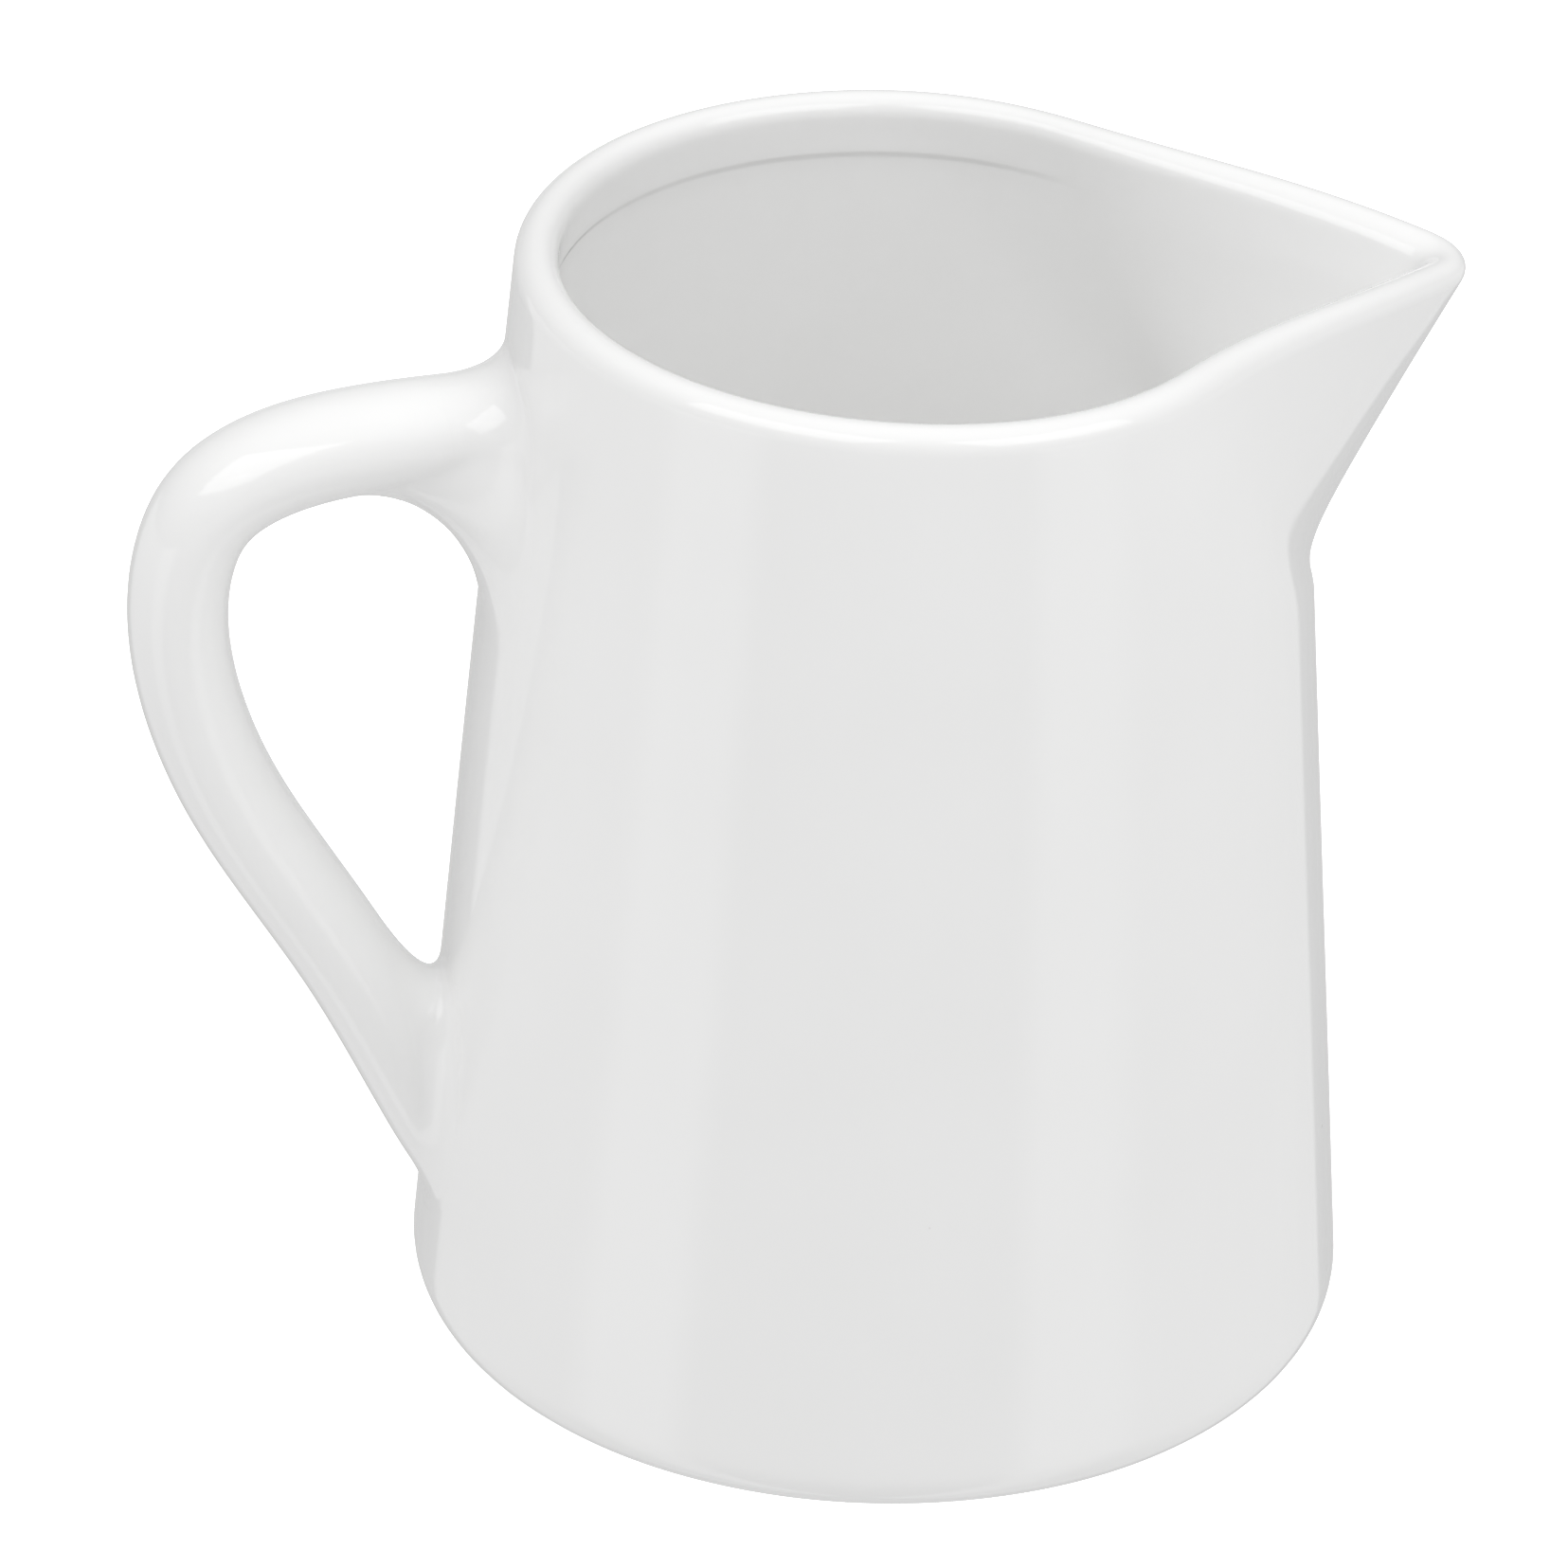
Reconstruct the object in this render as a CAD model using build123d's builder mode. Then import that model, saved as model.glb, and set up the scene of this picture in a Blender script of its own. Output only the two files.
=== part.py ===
from build123d import *

import os
from math import atan2, cos, degrees, sin, sqrt

# Ceramic pitcher: a tapering round wall on a flat base, a V-shaped spout set into a notch of the wall,
# a rounded lip round the mouth and the spout, and a strap handle luted on opposite the spout.
# Millimetres. The origin is the middle of the flat underside, +Z up, the spout points along +X and
# the handle along -X. The jug is the same on both sides of the XZ plane.

# Wall. The foot is a circle and the mouth, measured without its spout, is slightly wider than long.
height = 131.0
foot_diameter = 110.0
mouth_length = 86.4
mouth_width = 95.0
wall_thickness = 4.2

# Base
base_thickness = 6.5
base_edge_radius = 5.8

# Lip. Its top is level round the handle side and falls towards the point of the spout. A roundness
# of 1 rounds its two top edges as far as its own thickness allows where the spout leans out most.
lip_height = 6.5
lip_thickness = 4.7
lip_roundness = 0.95
lip_fall = 3.0
lip_fall_start = 25.0

# Spout. The keel is the straight edge from the wall up to the point. It is sharpest at its foot, and
# the nose it grows into is widest at the point.
spout_reach = 65.2
spout_depth = 38.7
nose_radius = 9.2
nose_foot_radius = 2.5
nose_inner_radius = 1.5
keel_step = 0.15
flank_levels = 7
notch_margin = 1.5

# Handle: the oval section, then the centreline's corners as heights and distances from the jug's axis.
# It ends at the height of its foot, one thickness inside the wall.
handle_thickness = 11.2
handle_width = 15.0
handle_top = 112.4
handle_shoulder = 111.2
handle_reach = 81.0
handle_elbow = 79.0
handle_foot = 7.5
shoulder_radius = 18.0
elbow_radius = 48.0
root_depth = 3.0

# Lutings: how far each collar of joining clay runs out along the handle, how far it stands proud of
# the handle at its two ends, and how much it fills the corner on the finger side of the handle.
luting_edge = 0.4
upper_luting_run = 13.0
upper_luting_margin = 2.4
upper_luting_fill = 11.5
lower_luting_run = 15.0
lower_luting_margin = 1.2
lower_luting_fill = 7.0

# The blank from which the wall, spout and lip are cut stands above the finished lip.
blank_top = height + 2.0
keel_foot = height - spout_depth


def round_axes(level, inset):
    """Half length and half width of the round part of the jug at one height."""
    share = level / height
    half_length = (foot_diameter + (mouth_length - foot_diameter) * share) / 2 - inset
    half_width = (foot_diameter + (mouth_width - foot_diameter) * share) / 2 - inset
    return half_length, half_width


def keel_x(level):
    """Distance of the keel from the jug's axis at one height."""
    start = round_axes(keel_foot, 0)[0]
    return start + (spout_reach - start) * (level - keel_foot) / spout_depth


def nose_circle(level, inset):
    """Centre and radius of the nose at one height. The inner nose never closes to a point."""
    share = (level - keel_foot) / spout_depth
    radius = nose_foot_radius + (nose_radius - nose_foot_radius) * share
    inner_radius = max(radius - inset, nose_inner_radius)
    return keel_x(level) - inset - inner_radius, inner_radius


def lip_edge_radius():
    """Radius for both top edges of the lip, limited by its width across the leaning keel."""
    lean = atan2(spout_reach - round_axes(keel_foot, 0)[0], spout_depth)
    return lip_roundness * lip_thickness / 2 * cos(lean)


def flank_angle(level, inset):
    """Direction of the normal of the flat flank that touches both the round wall and the nose."""
    half_length, half_width = round_axes(level, inset)
    nose_x, nose = nose_circle(level, inset)
    square = half_width**2 - half_length**2 + nose_x**2
    cosine = (sqrt((nose_x * nose) ** 2 - square * (nose**2 - half_width**2)) - nose_x * nose) / square
    return atan2(sqrt(1 - cosine**2), cosine)


def spouted_outline(level, inset):
    """Plan of the jug at one height: most of an ellipse, two straight flanks and a round nose."""
    half_length, half_width = round_axes(level, inset)
    nose_x, nose = nose_circle(level, inset)
    normal = flank_angle(level, inset)
    turn = degrees(atan2(half_width * sin(normal), half_length * cos(normal)))
    with BuildSketch(Plane.XY.offset(level)) as outline:
        with BuildLine():
            back = EllipticalCenterArc((0, 0), half_length, half_width, turn,
                                       arc_size=360 - 2 * turn)
            left = Line(back @ 0, (nose_x + nose * cos(normal), nose * sin(normal)))
            right = Line(back @ 1, (nose_x + nose * cos(normal), -nose * sin(normal)))
            ThreePointArc(left @ 1, (nose_x + nose, 0), right @ 1)
        make_face()
    return outline.sketch


def filled_jug(inset):
    """The jug as a full solid, out to its outer skin or to a skin set in from it."""
    levels = [keel_foot + keel_step + (blank_top - keel_foot - keel_step) * (step / flank_levels) ** 1.5
              for step in range(flank_levels + 1)]
    outlines = [spouted_outline(level, inset) for level in levels]
    with BuildPart() as filled:
        for level in (0, levels[0]):
            with BuildSketch(Plane.XY.offset(level)):
                Ellipse(*round_axes(level, inset))
        loft(ruled=True)
        loft(outlines, ruled=True)
    return filled.part


def above_lip_line(drop):
    """Everything above the lip's top line, or above the same line set lower."""
    level = height - drop
    with BuildPart() as above:
        with BuildSketch(Plane.XZ):
            with BuildLine():
                flat = Line((-foot_diameter, level), (lip_fall_start, level))
                fall = TangentArc(flat @ 1, (spout_reach, level - lip_fall), tangent=flat % 1)
                Polyline(
                    fall @ 1,
                    (spout_reach + height, level - lip_fall),
                    (spout_reach + height, 2 * height),
                    (-foot_diameter, 2 * height),
                    flat @ 0,
                )
            make_face()
        extrude(amount=foot_diameter, both=True)
    return above.part


outer_form = filled_jug(0)
inner_form = filled_jug(wall_thickness)
lip_inner_form = filled_jug(lip_thickness)
mouth_space = above_lip_line(0)
lip_space = above_lip_line(lip_height)

# The notch for the spout, seen from the front: half an ellipse that opens upwards.
flank_normal = flank_angle(height, 0)
flank_ellipse = round_axes(height, 0)
flank_width = flank_ellipse[1] ** 2 * sin(flank_normal) / sqrt(
    (flank_ellipse[0] * cos(flank_normal)) ** 2 + (flank_ellipse[1] * sin(flank_normal)) ** 2)
with BuildPart() as notch:
    with BuildSketch(Plane.YZ):
        with Locations((0, height)):
            Ellipse(flank_width + notch_margin, spout_depth + notch_margin)
    extrude(amount=spout_reach + notch_margin)

# base: a thick disc with a rounded outer edge. Its underside is the flat face the jug stands on.
with BuildPart() as base:
    for level in (0, base_thickness):
        with BuildSketch(Plane.XY.offset(level)):
            Ellipse(*round_axes(level, 0))
    loft(ruled=True)
    fillet(base.edges().group_by(Axis.Z)[0], base_edge_radius)
base.part.label = "base"

# body_wall: stands on the base and ends under the lip, with the notch cut out of its front.
with BuildPart() as body_wall:
    add(outer_form)
    add(inner_form, mode=Mode.SUBTRACT)
    split(bisect_by=Plane.XY.offset(base_thickness), keep=Keep.TOP)
    add(lip_space, mode=Mode.SUBTRACT)
    add(notch.part, mode=Mode.SUBTRACT)
body_wall.part.label = "body_wall"

# spout: the same wall inside the notch, drawn out to the point.
with BuildPart() as spout:
    add(outer_form)
    add(inner_form, mode=Mode.SUBTRACT)
    add(lip_space, mode=Mode.SUBTRACT)
    add(notch.part, mode=Mode.INTERSECT)
spout.part.label = "spout"

# lip: one band round the mouth and the spout, a little thicker than the wall, with a round top.
with BuildPart() as lip:
    add(outer_form)
    add(lip_inner_form, mode=Mode.SUBTRACT)
    add(lip_space, mode=Mode.INTERSECT)
    add(mouth_space, mode=Mode.SUBTRACT)
    top_faces = lip.faces().filter_by(lambda face: face.normal_at().Z > 0.9)
    rims = top_faces.edges().filter_by(lambda edge: edge.center().Z > height - lip_fall - lip_height / 2)
    fillet(rims, lip_edge_radius())
lip.part.label = "lip"

# handle: one oval section carried along straight runs joined by round bends. Both ends run into the
# wall and are cut off at its outer face.
handle_start = (-mouth_length / 2 + root_depth, handle_top)
handle_end = (-round_axes(handle_foot, handle_thickness)[0], handle_foot)
with BuildPart() as handle:
    with BuildLine(Plane.XZ):
        handle_line = FilletPolyline(
            handle_start,
            (-handle_reach, handle_shoulder),
            (-handle_reach, handle_elbow),
            handle_end,
            radius=[shoulder_radius, elbow_radius],
        )
    with BuildSketch(Plane(handle_line @ 0, x_dir=(0, 1, 0), z_dir=handle_line % 0)):
        Ellipse(handle_width / 2, handle_thickness / 2)
    sweep()
    add(outer_form, mode=Mode.SUBTRACT)
handle.part.label = "handle"


def luting_blank(root, run, along, margin, fill):
    """Collar round the handle, from a tall oval inside the wall out to an oval on the handle."""
    half_height = handle_thickness / 2 / abs(along.X) + margin + abs(fill) / 2
    with BuildPart() as blank:
        with BuildSketch(Plane(root + Vector(0, 0, fill / 2), x_dir=(0, 1, 0), z_dir=(-1, 0, 0))):
            Ellipse(handle_width / 2 + margin, half_height)
        with BuildSketch(Plane(root + along * run, x_dir=(0, 1, 0), z_dir=along)):
            Ellipse(handle_width / 2 + luting_edge, handle_thickness / 2 + luting_edge)
        loft(ruled=True)
    return blank.part


# upper_luting: deep below the handle, where it fills the corner between the handle and the wall.
# Both lutings start on the handle's centreline, root_depth inside the wall's outer face.
upper_root = Vector(-round_axes(handle_top, root_depth)[0], 0, handle_top)
upper_blank = luting_blank(upper_root, upper_luting_run + root_depth, handle_line % 0,
                           upper_luting_margin, -upper_luting_fill)
with BuildPart() as upper_luting:
    add(upper_blank)
    add(outer_form, mode=Mode.SUBTRACT)
    add(handle.part, mode=Mode.SUBTRACT)
upper_luting.part.label = "upper_luting"

# lower_luting: a long thin collar, because the handle meets the wall at a low angle.
lower_run = handle_line % 1
lower_x = round_axes(handle_elbow / 3, root_depth)[0]
lower_root = Vector(-lower_x, 0, handle_foot - (handle_end[0] + lower_x) * lower_run.Z / lower_run.X)
lower_blank = luting_blank(lower_root, lower_luting_run + root_depth, -lower_run,
                           lower_luting_margin, lower_luting_fill)
with BuildPart() as lower_luting:
    add(lower_blank)
    add(outer_form, mode=Mode.SUBTRACT)
    add(handle.part, mode=Mode.SUBTRACT)
lower_luting.part.label = "lower_luting"

os.makedirs("parts", exist_ok=True)
for piece in (base, body_wall, spout, lip, handle, upper_luting, lower_luting):
    export_step(piece.part, f"parts/{piece.part.label}.step")
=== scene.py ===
from math import cos, pi, radians, sin

import bmesh
import bpy
import numpy as np
from mathutils import Matrix, Vector


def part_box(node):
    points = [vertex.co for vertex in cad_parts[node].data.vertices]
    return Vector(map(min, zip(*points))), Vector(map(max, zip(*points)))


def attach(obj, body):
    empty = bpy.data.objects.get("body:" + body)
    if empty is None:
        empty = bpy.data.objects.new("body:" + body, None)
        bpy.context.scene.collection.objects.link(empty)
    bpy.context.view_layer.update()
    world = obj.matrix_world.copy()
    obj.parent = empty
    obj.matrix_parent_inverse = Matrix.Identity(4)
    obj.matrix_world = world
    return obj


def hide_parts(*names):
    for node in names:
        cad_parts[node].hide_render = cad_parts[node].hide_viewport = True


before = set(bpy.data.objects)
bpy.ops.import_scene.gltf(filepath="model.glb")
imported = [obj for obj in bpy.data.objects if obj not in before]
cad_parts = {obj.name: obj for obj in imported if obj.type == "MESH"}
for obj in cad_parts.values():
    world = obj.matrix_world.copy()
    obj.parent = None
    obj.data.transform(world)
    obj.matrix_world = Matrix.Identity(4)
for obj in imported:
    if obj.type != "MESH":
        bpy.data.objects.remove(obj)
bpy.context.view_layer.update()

# ---------------------------------------------------------------------------
# Jug wall. The round tapering wall, the spout drawn out of it, the rounded lip
# and the floor are one thin casting of white clay under one coat of clear
# glossy glaze, so they are one closed skin here, outside and inside.
# ---------------------------------------------------------------------------
MM = 0.001

base_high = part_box("base")[1]
lip_low, lip_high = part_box("lip")
spout_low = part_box("spout")[0]

jug_height = lip_high[2]
floor_top = base_high[2]
base_edge = 5.8 * MM
lip_band = 6.5 * MM
lip_thickness = 4.9 * MM
wall_thickness = 4.6 * MM
lip_fall = 3.0 * MM
lip_fall_start = 25.0 * MM
step_height = 1.1 * MM
floor_cove = 9.0 * MM

# The skin's first row stands this far, in radians, up the round edge from the ground.
foot_turn = 0.15

# The taper runs from the widest part of the base up to the lower edge of the lip.
taper_rise = jug_height - lip_band - base_edge
taper_along = (base_high[0] + lip_low[0]) / taper_rise
taper_across = (base_high[1] - lip_high[1]) / taper_rise

notch_margin = 1.5 * MM
keel_foot = spout_low[2] + notch_margin
nose_radius = 9.2 * MM
nose_foot_radius = 1.8 * MM
nose_inner_radius = 1.5 * MM
spout_reach = 65.2 * MM
flank_hollow = 1.6 * MM
hollow_spread = 1.6

# Edges are rounded over by averaging the plan over these shares of a turn, in radians, and of a rise.
soft_across = 0.024
soft_up = 0.6 * MM
soft_weights = ((-1, 1), (-0.5, 4), (0, 6), (0.5, 4), (1, 1))
throwing_unevenness = 0.04 * MM


def round_axes(level, inset):
    """Half length and half width of the round part of the jug at a height."""
    half_length = base_high[0] - taper_along * (level - base_edge) - inset
    half_width = base_high[1] - taper_across * (level - base_edge) - inset
    return half_length, half_width


def keel_x(level):
    """How far the keel of the spout stands from the jug's axis at a height."""
    start = round_axes(keel_foot, 0)[0]
    return start + (spout_reach - start) * (level - keel_foot) / (jug_height - keel_foot)


def drawn_radius(angle, level, inset):
    """Plan radius of the jug: an ellipse, two flanks that touch it, and a round nose."""
    half_length, half_width = round_axes(level, inset)
    rise = np.clip((level - keel_foot) / (jug_height - keel_foot), 0, 1)
    nose = nose_foot_radius + (nose_radius - nose_foot_radius) * rise**2
    nose = np.maximum(nose - inset, nose_inner_radius)
    nose_x = keel_x(level) - inset - nose
    turn = np.abs((angle + pi) % (2 * pi) - pi)
    ellipse = half_length * half_width / np.hypot(half_width * np.cos(turn), half_length * np.sin(turn))
    square = half_width**2 - half_length**2 + nose_x**2
    root = np.sqrt(np.maximum((nose_x * nose) ** 2 - square * (nose**2 - half_width**2), 0))
    cosine = (root - nose_x * nose) / square
    spouted = (level > keel_foot) & (cosine < 1)
    cosine = np.where(spouted, cosine, 0.5)
    sine = np.sqrt(1 - cosine**2)
    normal = np.arctan2(sine, cosine)
    wall_turn = np.arctan2(half_width**2 * sine, half_length**2 * cosine)
    nose_turn = np.arctan2(nose * sine, nose_x + nose * cosine)
    flank = (nose_x * cosine + nose) / np.maximum(np.cos(turn - normal), 0.05)
    round_nose = nose_x * np.cos(turn) + np.sqrt(np.maximum(nose**2 - (nose_x * np.sin(turn)) ** 2, 0))
    drawn = np.where(turn < nose_turn, round_nose, np.where(turn < wall_turn, flank, ellipse))

    # The flanks are a little hollow, and so is the wall just beyond them.
    along = np.clip((turn - nose_turn) / np.maximum(hollow_spread * wall_turn - nose_turn, 1e-6), 0, 1)
    hollow = flank_hollow * np.maximum(rise, 0) ** 0.4 * np.sin(pi * along**0.8) ** 2
    return np.where(spouted, drawn - hollow, ellipse)


def skin_radius(angle, level, inset):
    """The same plan with its edges rounded over, as glaze leaves them, and a little uneven."""
    total, weight = 0, 0
    for up, up_weight in soft_weights:
        for side, side_weight in soft_weights:
            near = drawn_radius(angle + side * soft_across, level + up * soft_up, inset)
            total = total + up_weight * side_weight * near
            weight += up_weight * side_weight
    waves = np.sin(2 * angle + level / (31 * MM)) + np.sin(3 * angle - level / (23 * MM) + 1.9)
    waves = waves + 0.6 * np.sin(5 * angle + level / (17 * MM) + 0.6)
    return total / weight + throwing_unevenness * waves


def lip_line_fall(x):
    """How far the lip's line has fallen at a distance along the spout."""
    run = np.clip((x - lip_fall_start) / (spout_reach - lip_fall_start), 0, 1.2)
    return lip_fall * run**2


def smooth(share):
    """Eases from 0 to 1."""
    return share * share * (3 - 2 * share)


def wall_rows():
    """(height, inset, share of the lip's fall, share of the lip's step) from foot to floor."""
    rows = []
    for turn in np.linspace(foot_turn, pi / 2, 12):
        rows.append((base_edge * (1 - cos(turn)), base_edge * (1 - sin(turn)), 0, 0))
    bead = lip_thickness / 2
    bead_low = jug_height - bead
    for level in np.linspace(base_edge, bead_low, 72)[1:]:
        share = max(level - keel_foot, 0) / (bead_low - keel_foot)
        rows.append((level, 0, share**2, 0))
    for turn in np.linspace(0, pi, 21)[1:-1]:
        rows.append((bead_low + bead * sin(turn), bead - bead * cos(turn), 1, 0))
    band_foot = jug_height - lip_band
    for level in np.linspace(bead_low, band_foot, 7):
        rows.append((level, lip_thickness, 1, 0))
    for share in np.linspace(0, 1, 9)[1:]:
        rows.append((band_foot - step_height * share, lip_thickness, 1, smooth(share)))
    below_step = band_foot - step_height
    for level in np.linspace(below_step, floor_top + floor_cove, 46)[1:]:
        share = max(level - keel_foot, 0) / (below_step - keel_foot)
        rows.append((level, lip_thickness, share**2, 1))
    for turn in np.linspace(0, pi / 2, 12)[1:]:
        rows.append((floor_top + floor_cove * (1 - sin(turn)),
                     lip_thickness + floor_cove * (1 - cos(turn)), 0, 1))
    return rows


# Columns of the skin stand closer together round the nose of the spout.
column_count = 360
column_crowding = 0.62
column_share = np.linspace(0, 1, column_count + 1)[:-1]
columns = 2 * pi * column_share - column_crowding * np.sin(2 * pi * column_share)

# The step under the lip's inner band runs out before it reaches the spout, between these two turns.
step_end, step_full = 0.75, 1.30
step_fade = np.clip((np.abs((columns + pi) % (2 * pi) - pi) - step_end) / (step_full - step_end), 0, 1)
step_depth = (lip_thickness - wall_thickness) * smooth(step_fade)

rings = []
for level, inset, fall_share, step_share in wall_rows():
    insets = inset - step_depth * step_share
    upright = skin_radius(columns, level, insets)
    lowered = level - fall_share * lip_line_fall(upright * np.cos(columns))
    radius = skin_radius(columns, lowered, insets)
    rings.append(np.stack([radius * np.cos(columns), radius * np.sin(columns), lowered], 1))

# Underside: inside the bare ring it stands on, the glazed underside is slightly raised.
foot_ring_outer = 0.905
foot_ring_inner = 0.82
foot_recess = 0.9 * MM
underside = []
for share, rise in ((0, 1), (0.15, 1), (0.35, 1), (0.55, 1), (0.7, 1), (0.78, 1), (0.80, 0.93),
                    (0.81, 0.6), (foot_ring_inner, 0.3)):
    ring = rings[0] * (share / foot_ring_outer, share / foot_ring_outer, 0)
    ring[:, 2] = rise * foot_recess
    underside.append(ring)
floor_middle = [rings[-1] * (share, share, 1) for share in (0.9, 0.75, 0.6, 0.45, 0.3, 0.15, 0)]
rings = underside + rings + floor_middle


def closed_skin(name, rings):
    """A smooth mesh through closed rings of points, each ring joined to the next."""
    count = len(rings[0])
    faces = []
    for row in range(len(rings) - 1):
        for column in range(count):
            after = (column + 1) % count
            faces.append((row * count + column, row * count + after,
                          (row + 1) * count + after, (row + 1) * count + column))
    mesh = bpy.data.meshes.new(name)
    mesh.from_pydata(np.concatenate(rings).tolist(), [], faces)
    piece = bpy.data.objects.new(name, mesh)
    bpy.context.scene.collection.objects.link(piece)
    return piece


def finish_skin(piece):
    """Closes the poles, turns all faces outwards and shades them smooth."""
    shell = bmesh.new()
    shell.from_mesh(piece.data)
    bmesh.ops.remove_doubles(shell, verts=shell.verts, dist=0.002 * MM)
    bmesh.ops.recalc_face_normals(shell, faces=shell.faces)
    if shell.calc_volume(signed=True) < 0:
        bmesh.ops.reverse_faces(shell, faces=shell.faces)
    shell.to_mesh(piece.data)
    shell.free()
    piece.data.shade_smooth()
    piece.data.update()


jug_wall = closed_skin("jug_wall", rings)
finish_skin(jug_wall)
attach(jug_wall, "root")
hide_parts("body_wall", "spout", "lip")


def white_glaze():
    """Clear glossy glaze on white clay: faint clouds, a slow ripple, orange peel and pinholes."""
    material = bpy.data.materials.new("white_glaze")
    material.use_nodes = True
    nodes, links = material.node_tree.nodes, material.node_tree.links
    shader = nodes["Principled BSDF"]
    shader.inputs["IOR"].default_value = 1.52
    place = nodes.new("ShaderNodeTexCoord").outputs["Object"]

    def noise(scale, detail):
        node = nodes.new("ShaderNodeTexNoise")
        node.inputs["Scale"].default_value = scale
        node.inputs["Detail"].default_value = detail
        links.new(place, node.inputs["Vector"])
        return node.outputs["Fac"]

    def mapped(value, low, high, to_low, to_high):
        node = nodes.new("ShaderNodeMapRange")
        limits = (("From Min", low), ("From Max", high), ("To Min", to_low), ("To Max", to_high))
        for socket, number in limits:
            node.inputs[socket].default_value = number
        links.new(value, node.inputs["Value"])
        return node.outputs["Result"]

    def combined(operation, first, second):
        node = nodes.new("ShaderNodeMath")
        node.operation = operation
        for index, value in enumerate((first, second)):
            if isinstance(value, float):
                node.inputs[index].default_value = value
            else:
                links.new(value, node.inputs[index])
        return node.outputs[0]

    # Pinholes: a few of the cells, each with one tiny dark pit in its middle.
    cells = nodes.new("ShaderNodeTexVoronoi")
    cells.inputs["Scale"].default_value = 62
    links.new(place, cells.inputs["Vector"])
    chance = nodes.new("ShaderNodeSeparateColor")
    links.new(cells.outputs["Color"], chance.inputs["Color"])
    pit = mapped(cells.outputs["Distance"], 0.008, 0.020, 1, 0)
    chosen = combined("GREATER_THAN", chance.outputs["Red"], 0.72)
    pinholes = combined("MULTIPLY", pit, chosen)

    clouds = nodes.new("ShaderNodeMix")
    clouds.data_type = "RGBA"
    clouds.inputs["A"].default_value = (0.938, 0.938, 0.934, 1)
    clouds.inputs["B"].default_value = (0.952, 0.952, 0.949, 1)
    links.new(mapped(noise(38, 3), 0.3, 0.7, 0, 1), clouds.inputs["Factor"])
    specked = nodes.new("ShaderNodeMix")
    specked.data_type = "RGBA"
    specked.inputs["B"].default_value = (0.30, 0.29, 0.27, 1)
    links.new(combined("MULTIPLY", pinholes, 0.7), specked.inputs["Factor"])
    links.new(clouds.outputs["Result"], specked.inputs["A"])
    links.new(specked.outputs["Result"], shader.inputs["Base Color"])

    links.new(mapped(noise(90, 2), 0.3, 0.7, 0.02, 0.05), shader.inputs["Roughness"])

    ripple = combined("MULTIPLY", noise(75, 1), 0.030)
    peel = combined("MULTIPLY", noise(620, 2), 0.0035)
    pits = combined("MULTIPLY", pinholes, -0.06)
    height = combined("ADD", combined("ADD", ripple, peel), pits)
    bump = nodes.new("ShaderNodeBump")
    bump.inputs["Distance"].default_value = 1.0 * MM
    links.new(height, bump.inputs["Height"])
    links.new(bump.outputs["Normal"], shader.inputs["Normal"])
    return material


glaze = white_glaze()
jug_wall.data.materials.append(glaze)


# ---------------------------------------------------------------------------
# Bare foot. The narrow ring the jug stood on in the kiln is wiped free of
# glaze, so the slightly rough fired clay shows there.
# ---------------------------------------------------------------------------
foot_edge = base_high[0] - base_edge * (1 - sin(foot_turn))

# The ring's section: (share of the foot's radius, height in mm).
foot_section = ((0.985, 0.30), (0.975, 0.08), (0.955, 0.0), (0.93, 0.0), (0.91, 0.06),
                (0.90, 0.25), (0.90, 0.9), (0.985, 0.9), (0.985, 0.30))
foot_sections = []
for share, level in foot_section:
    round_foot = foot_edge * share
    foot_sections.append(np.stack([round_foot * np.cos(columns), round_foot * np.sin(columns),
                                   np.full_like(columns, level * MM)], 1))
bare_foot = closed_skin("bare_foot", foot_sections)
finish_skin(bare_foot)
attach(bare_foot, "root")
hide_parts("base")

clay = bpy.data.materials.new("bare_clay")
clay.use_nodes = True
nodes, links = clay.node_tree.nodes, clay.node_tree.links
shader = nodes["Principled BSDF"]
shader.inputs["Roughness"].default_value = 0.75
place = nodes.new("ShaderNodeTexCoord").outputs["Object"]
grog = nodes.new("ShaderNodeTexNoise")
grog.inputs["Scale"].default_value = 900
grog.inputs["Detail"].default_value = 4
links.new(place, grog.inputs["Vector"])
body_tone = nodes.new("ShaderNodeValToRGB")
body_tone.color_ramp.elements[0].color = (0.70, 0.67, 0.61, 1)
body_tone.color_ramp.elements[0].position = 0.3
body_tone.color_ramp.elements[1].color = (0.84, 0.81, 0.76, 1)
body_tone.color_ramp.elements[1].position = 0.65
links.new(grog.outputs["Fac"], body_tone.inputs["Fac"])
links.new(body_tone.outputs["Color"], shader.inputs["Base Color"])
tooth = nodes.new("ShaderNodeBump")
tooth.inputs["Distance"].default_value = 0.03 * MM
links.new(grog.outputs["Fac"], tooth.inputs["Height"])
links.new(tooth.outputs["Normal"], shader.inputs["Normal"])
bare_foot.data.materials.append(clay)


# ---------------------------------------------------------------------------
# Handle. A pulled strap of the same clay, oval in section, bent over a round
# shoulder and run down nearly straight to the foot of the wall. Both its ends
# run into the wall, and it shares the wall's glaze.
# ---------------------------------------------------------------------------
handle_thickness = 11.2 * MM
handle_width = 15.0 * MM

# Control points of the strap's middle line: (distance along X, height) in mm.
handle_line = ((-41, 112.5), (-60, 112), (-74.5, 108.5), (-80.5, 100),
               (-81.7, 86), (-75.9, 67), (-62.2, 47), (-52.8, 25.5), (-47.5, 16), (-40, 13.5))

line_data = bpy.data.curves.new("handle_line", "CURVE")
line_data.dimensions = "3D"
spline = line_data.splines.new("NURBS")
spline.points.add(len(handle_line) - 1)
for point, (x, z) in zip(spline.points, handle_line):
    point.co = (x * MM, 0, z * MM, 1)
spline.order_u = 4
spline.use_endpoint_u = True
line = bpy.data.objects.new("handle_line", line_data)
bpy.context.scene.collection.objects.link(line)


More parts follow.
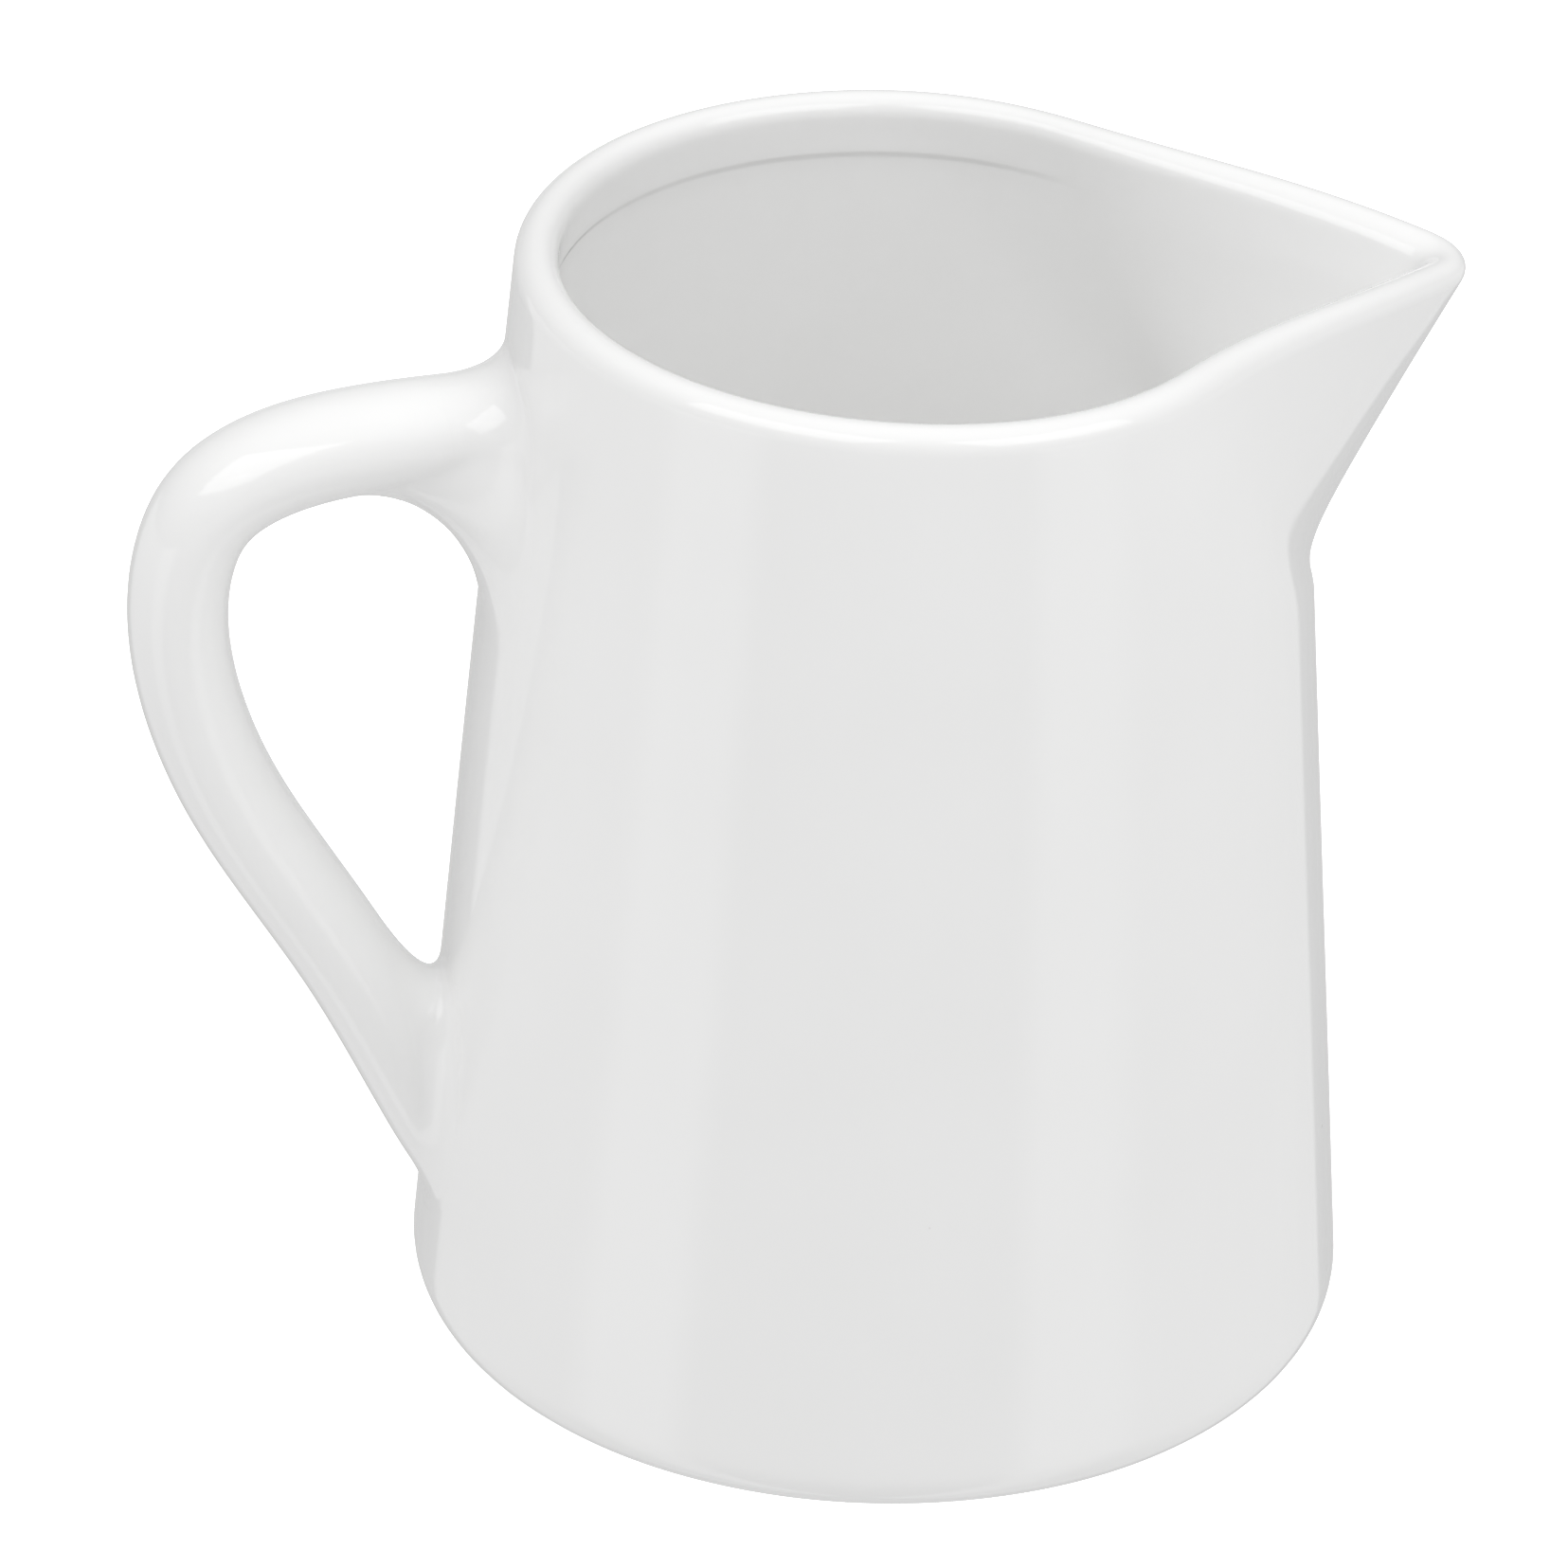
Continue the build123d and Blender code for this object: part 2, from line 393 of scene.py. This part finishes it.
def pulled_strap():
    """An oval section carried along the input line."""
    tree = bpy.data.node_groups.new("pulled_strap", "GeometryNodeTree")
    sockets = tree.interface
    sockets.new_socket("Line", in_out="INPUT", socket_type="NodeSocketGeometry")
    sockets.new_socket("Width", in_out="INPUT", socket_type="NodeSocketFloat")
    sockets.new_socket("Thickness", in_out="INPUT", socket_type="NodeSocketFloat")
    sockets.new_socket("Steps Along", in_out="INPUT", socket_type="NodeSocketInt")
    sockets.new_socket("Steps Round", in_out="INPUT", socket_type="NodeSocketInt")
    sockets.new_socket("Glaze", in_out="INPUT", socket_type="NodeSocketMaterial")
    sockets.new_socket("Strap", in_out="OUTPUT", socket_type="NodeSocketGeometry")
    nodes, links = tree.nodes, tree.links
    given = nodes.new("NodeGroupInput")
    made = nodes.new("NodeGroupOutput")
    steps = nodes.new("GeometryNodeResampleCurve")
    links.new(given.outputs["Line"], steps.inputs["Curve"])
    links.new(given.outputs["Steps Along"], steps.inputs["Count"])
    upright = nodes.new("GeometryNodeSetCurveNormal")
    upright.mode = "FREE"
    upright.inputs["Normal"].default_value = (0, 1, 0)
    links.new(steps.outputs["Curve"], upright.inputs["Curve"])
    circle = nodes.new("GeometryNodeCurvePrimitiveCircle")
    circle.inputs["Radius"].default_value = 0.5
    links.new(given.outputs["Steps Round"], circle.inputs["Resolution"])
    size = nodes.new("ShaderNodeCombineXYZ")
    links.new(given.outputs["Width"], size.inputs["X"])
    links.new(given.outputs["Thickness"], size.inputs["Y"])
    size.inputs["Z"].default_value = 1
    oval = nodes.new("GeometryNodeTransform")
    links.new(circle.outputs["Curve"], oval.inputs["Geometry"])
    links.new(size.outputs["Vector"], oval.inputs["Scale"])
    strap = nodes.new("GeometryNodeCurveToMesh")
    strap.inputs["Fill Caps"].default_value = True
    links.new(upright.outputs["Curve"], strap.inputs["Curve"])
    links.new(oval.outputs["Geometry"], strap.inputs["Profile Curve"])
    real = nodes.new("GeometryNodeRealizeInstances")
    links.new(strap.outputs["Mesh"], real.inputs["Geometry"])
    coated = nodes.new("GeometryNodeSetMaterial")
    links.new(real.outputs["Geometry"], coated.inputs["Geometry"])
    links.new(given.outputs["Glaze"], coated.inputs["Material"])
    links.new(coated.outputs["Geometry"], made.inputs["Strap"])
    return tree


strap_tree = pulled_strap()
modifier = line.modifiers.new("pulled_strap", "NODES")
modifier.node_group = strap_tree
strap_steps_round = 64
strap_steps_along = 160
for name, value in (("Width", handle_width), ("Thickness", handle_thickness),
                    ("Steps Along", strap_steps_along), ("Steps Round", strap_steps_round), ("Glaze", glaze)):
    modifier[strap_tree.interface.items_tree[name].identifier] = value
evaluated = line.evaluated_get(bpy.context.evaluated_depsgraph_get())
handle = bpy.data.objects.new("handle_strap", bpy.data.meshes.new_from_object(evaluated))
bpy.data.objects.remove(line)
bpy.context.scene.collection.objects.link(handle)
handle_points = np.array([vertex.co for vertex in handle.data.vertices])
finish_skin(handle)
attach(handle, "root")
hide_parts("handle")


# ---------------------------------------------------------------------------
# Upper luting. Soft clay pressed round the handle's upper root and wiped
# smooth: a small fillet above, a wide one below that the finger rests against.
# ---------------------------------------------------------------------------
handle_rulings = handle_points.reshape(-1, strap_steps_round, 3).transpose(1, 0, 2)


def unit(vectors):
    """The same directions with a length of 1."""
    return vectors / np.linalg.norm(vectors, axis=-1, keepdims=True)


def wall_gap(points):
    """Distance of points outside the wall's skin, along their own plan direction."""
    angle = np.arctan2(points[..., 1], points[..., 0])
    return np.hypot(points[..., 0], points[..., 1]) - skin_radius(angle, points[..., 2], 0)


def on_wall(points, proud=0.0):
    """The same points moved onto the wall's skin, or a little proud of it."""
    angle = np.arctan2(points[..., 1], points[..., 0])
    radius = skin_radius(angle, points[..., 2], 0) + proud
    return np.stack([radius * np.cos(angle), radius * np.sin(angle), points[..., 2]], -1)


def wall_normal(points):
    """Outward direction of the wall's skin."""
    nudge = 0.5 * MM
    angle = np.arctan2(points[..., 1], points[..., 0])
    sideways = np.stack([-np.sin(angle), np.cos(angle), np.zeros_like(angle)], -1) * nudge
    upwards = np.zeros_like(points) + (0, 0, nudge)
    across = on_wall(points + sideways) - on_wall(points - sideways)
    along = on_wall(points + upwards) - on_wall(points - upwards)
    return unit(np.cross(across, along))


def along_ruling(ruling, distance):
    """Point at a distance along a ruling of the strap, measured from its first point."""
    steps = np.linalg.norm(np.diff(ruling, axis=0), axis=1)
    run = np.concatenate([[0], np.cumsum(steps)])
    return np.array([np.interp(distance, run, ruling[:, axis]) for axis in range(3)])


# How the wiped clay feathers out past its edge: (further along, height above the surface) in mm.
feathering = ((-0.5, 0), (0.7, 0.005), (1.4, -0.01), (2.1, -0.04), (2.8, -0.5))
luting_proud = 0.015 * MM
luting_pull = 0.56
reach_sharpness = 1.6
buried_in_wall = 1.5 * MM
buried_in_strap = 1.0 * MM


def wiped_fillet(name, rulings, finger_side, on_strap, up_wall):
    """Skin that leaves the strap along its rulings and runs out onto the wall.

    Each ruling starts inside the wall and runs outwards along the strap. The two reaches are given for
    the finger side, the edges and the far side of the strap.
    """
    roots, strap_ends, strap_runs = [], [], []
    for ruling in rulings:
        gap = wall_gap(ruling)
        outside = int(np.argmax(gap > 0))
        share = -gap[outside - 1] / (gap[outside] - gap[outside - 1])
        roots.append(ruling[outside - 1] + share * (ruling[outside] - ruling[outside - 1]))
    roots = np.array(roots)
    end_middle = rulings[:, 0].mean(0)
    facing = [np.dot(ruling[0] - end_middle, finger_side) / (handle_thickness / 2) for ruling in rulings]
    facing = np.clip(facing, -1, 1)

    def reach(sizes):
        finger, edge, far = sizes
        towards = np.maximum(facing, 0) ** reach_sharpness
        away = np.maximum(-facing, 0) ** reach_sharpness
        return (edge + (finger - edge) * towards + (far - edge) * away) * MM

    strap_reach, wall_reach = reach(on_strap), reach(up_wall)
    for ruling, root, length in zip(rulings, roots, strap_reach):
        outer = ruling[wall_gap(ruling) > 0]
        run = np.concatenate([[root], outer])
        strap_ends.append(along_ruling(run, length))
        strap_runs.append([along_ruling(run, max(length + further * MM, 0)) for further, _ in feathering])
    strap_ends = np.array(strap_ends)
    strap_runs = np.array(strap_runs)
    strap_out = []
    count = len(rulings)
    for index in range(count):
        around = strap_ends[(index + 1) % count] - strap_ends[index - 1]
        strap_out.append(np.cross(around, strap_runs[index, 1] - strap_runs[index, 0]))
    strap_out = unit(np.array(strap_out))
    if np.sum((strap_ends - strap_ends.mean(0)) * strap_out) < 0:
        strap_out = -strap_out

    around_root = np.roll(roots, -1, 0) - np.roll(roots, 1, 0)
    normal = wall_normal(roots)
    away = unit(np.cross(around_root, normal))
    if np.sum((roots - roots.mean(0)) * away) < 0:
        away = -away
    wall_ends = on_wall(roots + away * wall_reach[:, None], luting_proud)
    end_normal = wall_normal(wall_ends)
    strap_ends = strap_ends + strap_out * luting_proud

    towards_root = roots - wall_ends
    towards_root = towards_root - end_normal * np.sum(towards_root * end_normal, 1, keepdims=True)
    strap_way = strap_runs[:, 0] - strap_runs[:, 1]
    strap_way = unit(strap_way) * np.linalg.norm(roots - strap_ends, axis=1, keepdims=True)
    first = strap_ends + strap_way * luting_pull
    second = wall_ends + towards_root * luting_pull

    # From the strap to the wall and back inside them: feathered edge, fillet, feathered edge, buried line.
    rings = [strap_runs[:, index] + strap_out * height * MM
             for index, (further, height) in reversed(list(enumerate(feathering))) if further > 0]
    for share in np.linspace(0, 1, 29):
        rest = 1 - share
        rings.append(rest**3 * strap_ends + 3 * rest**2 * share * first
                     + 3 * rest * share**2 * second + share**3 * wall_ends)
    for further, height in feathering:
        if further > 0:
            rings.append(on_wall(wall_ends + away * further * MM, height * MM))
    rings.append(roots - end_normal * buried_in_wall - strap_out * buried_in_strap)
    rings.append(rings[0])
    piece = closed_skin(name, rings)
    finish_skin(piece)
    piece.data.materials.append(glaze)
    return piece


upper_luting = wiped_fillet("upper_luting", handle_rulings, (0, 0, -1), (20, 6, 7), (20, 5, 3))
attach(upper_luting, "root")
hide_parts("upper_luting")


# ---------------------------------------------------------------------------
# Lower luting. The same soft clay at the low root: it fills the sharp crotch
# between the strap and the wall and feathers out round the strap's tongue.
# ---------------------------------------------------------------------------
finger_side = Vector((0.897, 0, 0.442))
lower_luting = wiped_fillet("lower_luting", handle_rulings[:, ::-1], finger_side,
                            (23.5, 6, 2.5), (12, 4, 1.2))
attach(lower_luting, "root")
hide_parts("lower_luting")


# ---------------------------------------------------------------------------
# Camera, table and light. The jug stands on a white table inside a pale tent,
# between two wide softboxes, and the camera looks down at it from the front.
# ---------------------------------------------------------------------------
camera_data = bpy.data.cameras.new("camera")
camera = bpy.data.objects.new("camera", camera_data)
bpy.context.scene.collection.objects.link(camera)
bpy.context.scene.camera = camera
camera_data.sensor_width = 36.0
camera_data.lens = 155.35
camera_data.clip_end = 20
forward = Vector((0.15250505, 0.86625384, -0.47575886)).normalized()
right = Vector((0.98680741, -0.1599401, 0.02510597)).normalized()
upward = right.cross(forward)
camera_place = (-0.12995, -0.668537, 0.432289)
camera.matrix_world = Matrix.Translation(camera_place) @ Matrix(
    (right, upward, -forward)).transposed().to_4x4()

table_reach = 20
corners = [(x * table_reach, y * table_reach, 0) for x, y in ((-1, -1), (1, -1), (1, 1), (-1, 1))]
floor_mesh = bpy.data.meshes.new("table")
floor_mesh.from_pydata(corners, [], [(0, 1, 2, 3)])
floor = bpy.data.objects.new("table", floor_mesh)
bpy.context.scene.collection.objects.link(floor)
paper = bpy.data.materials.new("paper")
paper.use_nodes = True
shader = paper.node_tree.nodes["Principled BSDF"]
shader.inputs["Base Color"].default_value = (0.95, 0.95, 0.95, 1)
shader.inputs["Roughness"].default_value = 0.9
shader.inputs["Emission Color"].default_value = (1, 1, 1, 1)
shader.inputs["Emission Strength"].default_value = 0.8
floor_mesh.materials.append(paper)
floor.visible_glossy = False
floor.visible_diffuse = False

world = bpy.data.worlds.new("studio")
bpy.context.scene.world = world
world.use_nodes = True
nodes, links = world.node_tree.nodes, world.node_tree.links
way = nodes.new("ShaderNodeTexCoord").outputs["Generated"]
parts = nodes.new("ShaderNodeSeparateXYZ")
links.new(way, parts.inputs["Vector"])

# Above the table's edge: a soft tent, brightest overhead.
climb = nodes.new("ShaderNodeValToRGB")
links.new(parts.outputs["Z"], climb.inputs["Fac"])
climb.color_ramp.elements[0].color = (0.40, 0.40, 0.40, 1)
climb.color_ramp.elements[1].color = (1, 1, 1, 1)
for place, level in ((0.55, 0.40), (0.82, 0.80)):
    climb.color_ramp.elements.new(place).color = (level, level, level, 1)

# Below it the table hides the tent from the camera, but the jug still sees it: two lit panels in
# front, and the unlit back of the tent. Each stop is (bearing in degrees, brightness).
bearing = nodes.new("ShaderNodeMath")
bearing.operation = "ARCTAN2"
links.new(parts.outputs["Y"], bearing.inputs[0])
links.new(parts.outputs["X"], bearing.inputs[1])
turned = nodes.new("ShaderNodeMapRange")
turned.inputs["From Min"].default_value = -pi
turned.inputs["From Max"].default_value = pi
links.new(bearing.outputs[0], turned.inputs["Value"])
round_about = nodes.new("ShaderNodeValToRGB")
links.new(turned.outputs["Result"], round_about.inputs["Fac"])
front = -101.0
tent_levels = ((front - 77, 0.80), (front - 70, 1.15), (front - 50, 1.15), (front - 42, 0.62),
               (front + 34, 0.62), (front + 42, 1.15), (front + 60, 1.15), (front + 72, 0.80),
               (front + 145, 0.75), (front + 147, 0.42), (front + 155, 0.48), (front + 168, 0.60),
               (front + 192, 0.60), (front + 210, 0.48), (front + 222, 0.42), (front + 224, 0.75))
stops = round_about.color_ramp.elements
for index, (angle, level) in enumerate(tent_levels):
    place = (angle + 180) / 360
    if index < 2:
        stops[index].position = place
        stop = stops[index]
    else:
        stop = stops.new(place)
    stop.color = (level, level, level, 1)

below = nodes.new("ShaderNodeMath")
below.operation = "LESS_THAN"
below.inputs[1].default_value = -0.01
links.new(parts.outputs["Z"], below.inputs[0])
tent = nodes.new("ShaderNodeMix")
tent.data_type = "RGBA"
links.new(below.outputs[0], tent.inputs["Factor"])
links.new(climb.outputs["Color"], tent.inputs["A"])
links.new(round_about.outputs["Color"], tent.inputs["B"])
links.new(tent.outputs["Result"], nodes["Background"].inputs["Color"])
nodes["Background"].inputs["Strength"].default_value = 1.1

# Two wide softboxes light the jug, and two thin tubes in front of them draw the narrow highlights.
lamp_distance = 1.2
lamp_aim = Vector((0, 0, 0.08))
for name, azimuth, elevation, length, depth, power in (
        ("left_softbox", -46, 50, 1.0, 0.6, 2.9), ("right_softbox", 52, 50, 1.0, 0.6, 2.9),
        ("left_tube", -40, 44, 0.30, 0.012, 0.04), ("right_tube", 44, 44, 0.30, 0.012, 0.04)):
    lamp = bpy.data.lights.new(name, "AREA")
    lamp.shape = "RECTANGLE"
    lamp.size = length
    lamp.size_y = depth
    lamp.energy = power
    holder = bpy.data.objects.new(name, lamp)
    bpy.context.scene.collection.objects.link(holder)
    turn, rise = radians(front + azimuth), radians(elevation)
    spot = Vector((cos(turn) * cos(rise), sin(turn) * cos(rise), sin(rise))) * lamp_distance
    holder.location = spot
    holder.rotation_euler = (spot - lamp_aim).to_track_quat("Z", "Y").to_euler()

bpy.context.scene.view_settings.view_transform = "Standard"
bpy.context.scene.cycles.diffuse_bounces = 12
